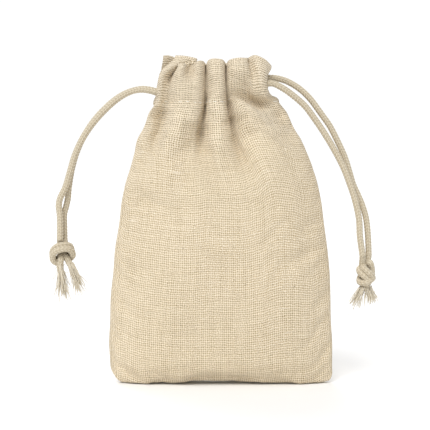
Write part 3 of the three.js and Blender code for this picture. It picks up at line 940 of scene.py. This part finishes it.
def uneven(points, up, across, side, seed):
    """Small soft dents and swellings, and the pucker along the row of stitches."""
    spread = np.random.default_rng(seed)
    offset = np.zeros(points.shape[:2])
    for _ in range(LUMPS):
        centre = (spread.uniform(4, 96), spread.uniform(4, 112))
        reach = (spread.uniform(4, 12), spread.uniform(5, 16))
        depth = spread.normal() * LUMP_DEPTH
        high = ((up[:, None] - centre[1]) / reach[1]) ** 2
        wide = ((across[None, :] - centre[0]) / reach[0]) ** 2
        offset += depth * np.exp(-(high + wide))
    groove = -GROOVE_DEPTH * np.exp(-(((up[:, None] - STITCH_LINE) / 1.1) ** 2))
    pucker = PUCKER_HEIGHT * np.exp(-(((up[:, None] - (STITCH_LINE - 2.0)) / 5.0) ** 2))
    drift = 3 * np.sin(across[None, :] * 0.21)
    pucker = pucker * np.sin(across[None, :] * 2 * math.pi / PUCKER_LENGTH + drift)
    edge_fade = ease(across / 6) * ease((CLOTH_WIDTH - across) / 6)
    offset = (offset + groove + pucker) * edge_fade[None, :] * (up < 137)[:, None]
    result = points.copy()
    result[:, :, 1] += side * offset
    result[:, :, 1] = side * np.maximum(side * result[:, :, 1], SEAM_HALF_GAP)
    result[:, :, 2] = np.maximum(result[:, :, 2], LOWEST)
    return result


front_points = uneven(front_points, front_up, front_across, -1, SEED + 1)
back_points = uneven(back_points, back_up, back_across, 1, SEED + 2)

# %% [markdown]
# ## The panels as pieces
#
# The cloth gets its thickness from a Solidify modifier that works inwards, after one level of
# subdivision.


def follow_the_neck(piece):
    """Bakes a piece's placement into its mesh."""
    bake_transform(piece)


def make_panel(name, across, up, points, side, nodes):
    """A panel of the pouch as one sheet of cloth."""
    mesh, _ = panel_mesh(name, across, up, points, side, MM)
    piece = bpy.data.objects.new(name, mesh)
    bpy.context.scene.collection.objects.link(piece)
    smoother = piece.modifiers.new("Subdivision", "SUBSURF")
    smoother.levels = 1
    smoother.render_levels = 1
    wall = piece.modifiers.new("Solidify", "SOLIDIFY")
    wall.thickness = CLOTH_THICKNESS * MM
    wall.offset = -1
    wall.use_even_offset = False
    follow_the_neck(piece)
    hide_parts(*nodes)
    print(name, "with", len(mesh.polygons), "faces before subdivision")
    return piece


front_panel = make_panel("cloth_front_panel", front_across, front_up, front_points, -1,
                         ["front_panel", "front_casing", "left_casing_front_end", "right_casing_front_end"])
back_panel = make_panel("cloth_back_panel", back_across, back_up, back_points, 1,
                        ["back_panel", "back_casing", "left_casing_back_end", "right_casing_back_end"])

# %% [markdown]
# ## The seams inside
#
# The panels are sewn right sides together and turned, so their raw edges stand inside as narrow
# allowances. They can only be seen from above, between the casings. Each is a strip drawn out of
# an edge along the seam, pressed thin and a little wavy.

# %% Seam allowances
SIDE_ALLOWANCE = 5.5       # mm from the seam to the raw edge
BOTTOM_ALLOWANCE = 6.5
ALLOWANCE_THICKNESS = 1.0  # two layers pressed together
ALLOWANCE_WAVE = 0.5
ALLOWANCE_CLOTH_SHIFT = 260


def allowance(name, line, inward, width, node):
    """A thin wavy strip that stands inwards from a seam's line."""
    bm = bmesh.new()
    line = smooth_line(line, 1.2)
    verts = [bm.verts.new(Vector(p)) for p in line]
    for a, b in zip(verts, verts[1:]):
        bm.edges.new((a, b))
    edges = list(bm.edges)
    steps = 5
    for step in range(1, steps + 1):
        grown = bmesh.ops.extrude_edge_only(bm, edges=edges)["geom"]
        edges = [g for g in grown if isinstance(g, bmesh.types.BMEdge)]
        moved = [g for g in grown if isinstance(g, bmesh.types.BMVert)]
        bmesh.ops.translate(bm, verts=moved, vec=Vector(inward) * width / steps)
    for vert in bm.verts:
        far = abs((vert.co - Vector(line[0])).dot(Vector(inward).normalized()))
        wave = math.sin(vert.co.z * 0.33 + vert.co.x * 0.21)
        vert.co.y += ALLOWANCE_WAVE * wave * min(1.0, far / width)
    uv_layer = bm.loops.layers.uv.new("UVMap")
    for face in bm.faces:
        for loop in face.loops:
            loop[uv_layer].uv = (loop.vert.co.x + ALLOWANCE_CLOTH_SHIFT, loop.vert.co.z)
    bmesh.ops.solidify(bm, geom=bm.faces, thickness=ALLOWANCE_THICKNESS)
    bmesh.ops.recalc_face_normals(bm, faces=bm.faces)
    piece = joined_piece(name, [bm])
    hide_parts(node)
    return piece


def side_line(points, up, column, inset):
    """The seam's line up a side, a little inside the cloth."""
    picked = [points[row, column] for row in range(4, len(up)) if up[row] < 116.0][::8]
    return [(p[0] + inset, 0.0, p[2]) for p in picked]


left_line = side_line(front_points, front_up, 0, 0.5)
left_allowance = allowance("left_seam_allowance", left_line, (1, 0, 0), SIDE_ALLOWANCE, "left_side_seam")
right_line = side_line(front_points, front_up, -1, -0.5)
right_allowance = allowance("right_seam_allowance", right_line, (-1, 0, 0), SIDE_ALLOWANCE,
                            "right_side_seam")
bottom_row = [(p[0], 0.0, p[2] + 0.4) for p in front_points[0, 6:-6:6]]
bottom_allowance = allowance("bottom_seam_allowance", bottom_row, (0, 0, 1), BOTTOM_ALLOWANCE,
                             "bottom_seam")
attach(bottom_allowance, "pouch_body")
follow_the_neck(left_allowance)
follow_the_neck(right_allowance)
print("three seam allowances")

# %% [markdown]
# ## The row of stitches
#
# The casing is closed by one row of white machine stitches, about 2.5 mm long. Every stitch is a
# short rounded thread that sinks into the cloth at both ends. It is made from one edge of the
# panel's stitch line, so that it follows the pleats.

# %% Machine stitches along the casing
STITCH_LENGTH = 2.6
STITCH_GAP = 0.55
THREAD_RADIUS = 0.17
FIRST_STITCH = 1.5         # mm from a side seam


def stitch_row(name, across, up, points, side, node):
    """A row of machine stitches on the outside of a panel."""
    height = np.array([STITCH_LINE])
    level = np.array([eased_curve(up, points[:, c], height)[0] for c in range(len(across))])
    away = np.gradient(level, axis=0)
    normal = np.stack([away[:, 1], -away[:, 0], np.zeros(len(away))], axis=1)
    normal /= np.linalg.norm(normal, axis=1)[:, None]
    normal *= np.where(np.median(normal[:, 1]) * side > 0, 1, -1)
    along = distance_along(level)
    parts = []
    start = FIRST_STITCH
    while start + STITCH_LENGTH < along[-1] - FIRST_STITCH:
        reach = np.linspace(start, start + STITCH_LENGTH, 8)
        share = (reach - start) / STITCH_LENGTH
        rise = chance.uniform(-0.12, 0.08) - 0.4 * (2 * share - 1) ** 4
        base = np.stack([np.interp(reach, along, level[:, k]) for k in range(3)], axis=1)
        out = np.stack([np.interp(reach, along, normal[:, k]) for k in range(3)], axis=1)
        line = base + out * rise[:, None]
        line[:, 2] += 0.12 * chance.normal() + 0.15 * np.sin(share * math.pi) * chance.normal()
        parts.append(rolled_tube(line, lambda angle, far: (THREAD_RADIUS, 1.0), 6))
        start += STITCH_LENGTH + STITCH_GAP
    piece = joined_piece(name, parts)
    follow_the_neck(piece)
    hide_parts(node)
    print(name, "has", len(parts), "stitches")
    return piece


front_stitches = stitch_row("front_stitches", front_across, front_up, front_points, -1,
                            "front_casing_stitching")
back_stitches = stitch_row("back_stitches", back_across, back_up, back_points, 1,
                           "back_casing_stitching")

# %% [markdown]
# ## Colours and nodes
#
# One function turns a colour as it is written for screens into the linear values that the
# renderer works with, and one adds a node with its settings and links.

# %% Colours and nodes
def linear(code):
    """An sRGB hex colour as linear RGBA."""
    values = [int(code[i:i + 2], 16) / 255 for i in (1, 3, 5)]
    return tuple(v / 12.92 if v <= 0.04045 else ((v + 0.055) / 1.055) ** 2.4 for v in values) + (1.0,)


def add_node(tree, kind, settings=None, **inputs):
    """Adds a node, with its settings, and with a value or a link for each named input."""
    node = tree.nodes.new("ShaderNode" + kind)
    for key, value in (settings or {}).items():
        setattr(node, key, value)
    for key, value in inputs.items():
        name = key.replace("_", " ")
        socket = node.inputs[int(key[1:])] if key[0] == "i" and key[1:].isdigit() else node.inputs[name]
        if isinstance(value, bpy.types.NodeSocket):
            tree.links.new(value, socket)
        else:
            socket.default_value = value
    return node


def new_material(name, roughness, sheen):
    """A dielectric fabric material, with its node tree and its shader."""
    material = bpy.data.materials.new(name)
    material.use_nodes = True
    shader = material.node_tree.nodes["Principled BSDF"]
    shader.inputs["Roughness"].default_value = roughness
    shader.inputs["Specular IOR Level"].default_value = 0.25
    shader.inputs["Sheen Weight"].default_value = sheen
    shader.inputs["Sheen Roughness"].default_value = 0.5
    return material, material.node_tree, shader


# %% [markdown]
# ## Undyed cotton-linen cloth
#
# This is a coarse plain weave of undyed cotton and linen: every thread goes over one and under
# the next, about 0.88 mm apart, with small gaps between them. What the eye sees is the grid of
# gaps, threads that are thicker in places, paler cotton specks and a few dark bits of flax. The
# pattern runs in millimetres of flat cloth from the UV map, so it bends with the pleats. Towards
# the neck the contrast of the weave is raised, so there the gaps are painted darker than in the
# body: painted shade, for the dark inside of the pouch seen through them.

# %% Cotton-linen plain weave
THREAD_SPACING = 0.88      # mm from thread to thread


cloth_material, tree, shader = new_material("undyed_cotton_linen_plain_weave", 0.95, 0.15)
uv = add_node(tree, "UVMap", {"uv_map": "UVMap"}).outputs[0]
drift = add_node(tree, "TexNoise", Vector=uv, Scale=0.55, Detail=2.0, Roughness=0.5).outputs["Color"]
centred = add_node(tree, "VectorMath", {"operation": "SUBTRACT"}, i0=drift, i1=(0.5, 0.5, 0.5))
small_shift = add_node(tree, "VectorMath", {"operation": "SCALE"}, i0=centred.outputs[0], Scale=0.9)
shifted = add_node(tree, "VectorMath", {"operation": "ADD"}, i0=uv, i1=small_shift.outputs[0])
threads = add_node(tree, "VectorMath", {"operation": "SCALE"},
                   i0=shifted.outputs[0], Scale=math.pi / THREAD_SPACING)
split = add_node(tree, "SeparateXYZ", i0=threads.outputs[0])
warp_wave = add_node(tree, "Math", {"operation": "COSINE"}, i0=split.outputs[0]).outputs[0]
weft_wave = add_node(tree, "Math", {"operation": "COSINE"}, i0=split.outputs[1]).outputs[0]
warp_width = add_node(tree, "Math", {"operation": "ABSOLUTE"}, i0=warp_wave).outputs[0]
weft_width = add_node(tree, "Math", {"operation": "ABSOLUTE"}, i0=weft_wave).outputs[0]
crossing = add_node(tree, "Math", {"operation": "MULTIPLY"}, i0=warp_wave, i1=weft_wave).outputs[0]
parity = add_node(tree, "Math", {"operation": "MULTIPLY"}, i0=crossing, i1=0.42).outputs[0]
warp_over = add_node(tree, "Math", {"operation": "ADD"}, i0=parity, i1=0.55).outputs[0]
weft_over = add_node(tree, "Math", {"operation": "SUBTRACT"}, i0=0.62, i1=parity).outputs[0]
warp_top = add_node(tree, "Math", {"operation": "MULTIPLY"}, i0=warp_width, i1=warp_over).outputs[0]
weft_top = add_node(tree, "Math", {"operation": "MULTIPLY"}, i0=weft_width, i1=weft_over).outputs[0]
weave = add_node(tree, "Math", {"operation": "MAXIMUM"}, i0=warp_top, i1=weft_top).outputs[0]
print("the weave has", round(1 / THREAD_SPACING * 10, 1), "threads in a centimetre")

# %% [markdown]
# ## Slubs, specks and colour of the cloth
#
# Coarse yarn is uneven: thicker stretches, called slubs, run along single threads in both
# directions. They are noise that is drawn out about twenty times along the thread. The weave and
# the slubs together choose the colour, from the shadow in the gaps to the crest of a thread. Bits
# of flax straw are darker flecks and knots of cotton fibre are paler ones.

# %% Slubs, specks and colour of the cloth
warp_long = add_node(tree, "VectorMath", {"operation": "MULTIPLY"}, i0=uv, i1=(1.1, 0.05, 1.0)).outputs[0]
weft_long = add_node(tree, "VectorMath", {"operation": "MULTIPLY"}, i0=uv, i1=(0.05, 1.1, 1.0)).outputs[0]
warp_slub = add_node(tree, "TexNoise", Vector=warp_long, Scale=1.0, Detail=3.0).outputs["Fac"]
weft_slub = add_node(tree, "TexNoise", Vector=weft_long, Scale=1.0, Detail=3.0).outputs["Fac"]
slub = add_node(tree, "Math", {"operation": "ADD"}, i0=warp_slub, i1=weft_slub).outputs[0]
slub_shade = add_node(tree, "Math", {"operation": "MULTIPLY"}, i0=slub, i1=0.27).outputs[0]
weave_shade = add_node(tree, "Math", {"operation": "MULTIPLY"}, i0=weave, i1=0.85).outputs[0]
shade = add_node(tree, "Math", {"operation": "ADD"}, i0=weave_shade, i1=slub_shade).outputs[0]
cloth_place = add_node(tree, "SeparateXYZ", i0=uv)
# The weave's contrast grows towards the neck, so its gaps are painted darker there: painted shade.
painted_neck_gap_shade = add_node(tree, "MapRange", Value=cloth_place.outputs[1],
                    From_Min=94.0, From_Max=118.0, To_Min=0.85, To_Max=1.55).outputs[0]
centred_shade = add_node(tree, "Math", {"operation": "SUBTRACT"}, i0=shade, i1=0.64).outputs[0]
shade_with_painted_neck_gaps = add_node(tree, "Math", {"operation": "MULTIPLY_ADD"},
                      i0=centred_shade, i1=painted_neck_gap_shade, i2=0.66).outputs[0]
ramp = add_node(tree, "ValToRGB", Fac=shade_with_painted_neck_gaps)
ramp.color_ramp.elements[0].position = 0.28
ramp.color_ramp.elements[0].color = linear("#463520")
ramp.color_ramp.elements[1].position = 1.0
ramp.color_ramp.elements[1].color = linear("#f2e5cf")
middle = ramp.color_ramp.elements.new(0.62)
middle.color = linear("#cdba97")
fleck_noise = add_node(tree, "TexNoise", Vector=uv, Scale=0.62, Detail=3.0, Roughness=0.6).outputs["Fac"]
fleck_mask = add_node(tree, "MapRange", Value=fleck_noise, From_Min=0.70, From_Max=0.76).outputs[0]
flecked = add_node(tree, "Mix", {"data_type": "RGBA"},
                   i0=fleck_mask, i6=ramp.outputs[0], i7=linear("#6a5536")).outputs[2]
nep_noise = add_node(tree, "TexNoise", Vector=weft_long, Scale=1.7, Detail=2.0).outputs["Fac"]
nep_mask = add_node(tree, "MapRange", Value=nep_noise, From_Min=0.68, From_Max=0.78).outputs[0]
cloth_colour = add_node(tree, "Mix", {"data_type": "RGBA"},
                        i0=nep_mask, i6=flecked, i7=linear("#ece1cd")).outputs[2]
tree.links.new(cloth_colour, shader.inputs["Base Color"])
slub_lift = add_node(tree, "Math", {"operation": "MULTIPLY"}, i0=slub, i1=0.32).outputs[0]
relief = add_node(tree, "Math", {"operation": "ADD"}, i0=weave, i1=slub_lift).outputs[0]
bump = add_node(tree, "Bump", Height=relief, Strength=0.8, Distance=0.35 * MM)
tree.links.new(bump.outputs[0], shader.inputs["Normal"])

# %% [markdown]
# ## Soft cotton cord
#
# The cord is braided from loosely spun cotton, paler than the cloth. It is dull, a little fuzzy
# at its edge, which the sheen gives, and the valleys of the braid are painted darker: painted shade.

# %% Braided cotton
cord_material, tree, shader = new_material("braided_undyed_cotton", 0.92, 0.3)
uv = add_node(tree, "UVMap", {"uv_map": "UVMap"}).outputs[0]
height = add_node(tree, "Attribute", {"attribute_name": "yarn_height"}).outputs["Fac"]
fibres = add_node(tree, "TexNoise", Vector=uv, Scale=2.6, Detail=4.0, Roughness=0.6).outputs["Fac"]
# The low places of the braid are painted darker: painted shade in its valleys.
painted_valley_shade = add_node(tree, "Math", {"operation": "MULTIPLY"}, i0=height, i1=0.5).outputs[0]
fibre_share = add_node(tree, "Math", {"operation": "MULTIPLY"}, i0=fibres, i1=0.75).outputs[0]
cord_shade = add_node(tree, "Math", {"operation": "ADD"}, i0=painted_valley_shade, i1=fibre_share).outputs[0]
ramp = add_node(tree, "ValToRGB", Fac=cord_shade)
ramp.color_ramp.elements[0].position = 0.15
ramp.color_ramp.elements[0].color = linear("#968870")
ramp.color_ramp.elements[1].position = 1.0
ramp.color_ramp.elements[1].color = linear("#ddd4c1")
middle = ramp.color_ramp.elements.new(0.6)
middle.color = linear("#c8bca4")
tree.links.new(ramp.outputs[0], shader.inputs["Base Color"])
bump = add_node(tree, "Bump", Height=fibres, Strength=0.4, Distance=0.15 * MM)
tree.links.new(bump.outputs[0], shader.inputs["Normal"])

# %% [markdown]
# ## White sewing thread
#
# Spun polyester thread is twisted from two plies, which gives slanting bands half a millimetre
# apart: a bump, and painted shade in the grooves between the plies. It is whiter and a little
# glossier than the cloth.

# %% Sewing thread
thread_material, tree, shader = new_material("white_spun_thread", 0.65, 0.2)
uv = add_node(tree, "UVMap", {"uv_map": "UVMap"}).outputs[0]
split = add_node(tree, "SeparateXYZ", i0=uv)
lean = add_node(tree, "Math", {"operation": "ADD"}, i0=split.outputs[0], i1=split.outputs[1]).outputs[0]
turns = add_node(tree, "Math", {"operation": "MULTIPLY"}, i0=lean, i1=2 * math.pi / 0.45).outputs[0]
twist = add_node(tree, "Math", {"operation": "SINE"}, i0=turns).outputs[0]
twist_share = add_node(tree, "MapRange", Value=twist, From_Min=-1.0, From_Max=1.0).outputs[0]
# The grooves of the twist are painted a little darker: painted shade.
thread_colour = add_node(tree, "Mix", {"data_type": "RGBA"},
                         i0=twist_share, i6=linear("#ddd8cc"), i7=linear("#fbf8f0")).outputs[2]
tree.links.new(thread_colour, shader.inputs["Base Color"])
bump = add_node(tree, "Bump", Height=twist_share, Strength=0.5, Distance=0.08 * MM)
tree.links.new(bump.outputs[0], shader.inputs["Normal"])

# %% [markdown]
# ## Putting the materials on
#
# The panels and the seam allowances are cut from the same cloth. The cords, their knots and their
# loose yarns are all one braided cotton, and only the stitches have the sewing thread.

# %% Dress the pieces in their materials
dressed = [front_panel, back_panel, left_allowance, right_allowance, bottom_allowance]
for piece in dressed:
    piece.data.materials.append(cloth_material)
for piece in cord_pieces.values():
    piece.data.materials.append(cord_material)
for piece in (front_stitches, back_stitches):
    piece.data.materials.append(thread_material)
print("materials on", len(dressed) + len(cord_pieces) + 2, "pieces")

# %% [markdown]
# ## The studio
#
# The pouch stands on a plain white floor that runs back without an edge. One very soft light from
# above, in front and a little to the left makes the broad shading. It is a sun with a wide disc,
# so that the floor is equally bright near and far. A weaker one from behind keeps the back from
# being dull, and lays a faint shadow in front. The world fills the shadows from all around. It
# is seen as white, but it lights less than that, or the underside of the pouch would be too pale.

# %% Floor, lights and world
FILL = 0.57                # strength of the world's light
LIGHT = 1.95               # strength of the light from the front
BACK_LIGHT = 1.0           # strength of the light from behind
LIGHT_WIDTH = math.radians(36)
FLOOR_REACH = 4000         # mm from the middle of the floor to its edge
floor_mesh = bmesh.new()
bmesh.ops.create_grid(floor_mesh, x_segments=2, y_segments=2, size=FLOOR_REACH)
floor_part = joined_piece("studio_floor", [floor_mesh])
floor_material, tree, shader = new_material("matt_white_paper", 0.9, 0.0)
place = add_node(tree, "TexCoord").outputs["Object"]
paper = add_node(tree, "TexNoise", Vector=place, Scale=40.0, Detail=2.0).outputs["Fac"]
paper_colour = add_node(tree, "Mix", {"data_type": "RGBA"},
                        i0=paper, i6=linear("#f9f9f9"), i7=linear("#fcfcfc")).outputs[2]
tree.links.new(paper_colour, shader.inputs["Base Color"])
floor_part.data.materials.append(floor_material)

scene = bpy.context.scene
world = bpy.data.worlds.new("white_studio")
world.use_nodes = True
background = world.node_tree.nodes["Background"]
background.inputs["Color"].default_value = (1.0, 1.0, 1.0, 1.0)
seen = add_node(world.node_tree, "LightPath").outputs["Is Camera Ray"]
strength = add_node(world.node_tree, "MapRange", Value=seen, To_Min=FILL, To_Max=1.05).outputs[0]
world.node_tree.links.new(strength, background.inputs["Strength"])
scene.world = world


def wide_light(name, direction, strength):
    """A sun with a wide disc, so that its shadows are very soft."""
    data = bpy.data.lights.new(name, "SUN")
    data.energy = strength
    data.angle = LIGHT_WIDTH
    light = bpy.data.objects.new(name, data)
    light.rotation_euler = Vector(direction).to_track_quat("-Z", "Y").to_euler()
    scene.collection.objects.link(light)


wide_light("front_soft_light", (0.42, 1.15, -1.36), LIGHT)
wide_light("back_soft_light", (0.35, -1.0, -1.2), BACK_LIGHT)
scene.view_settings.view_transform = "Standard"
print("two soft lights and a white world")
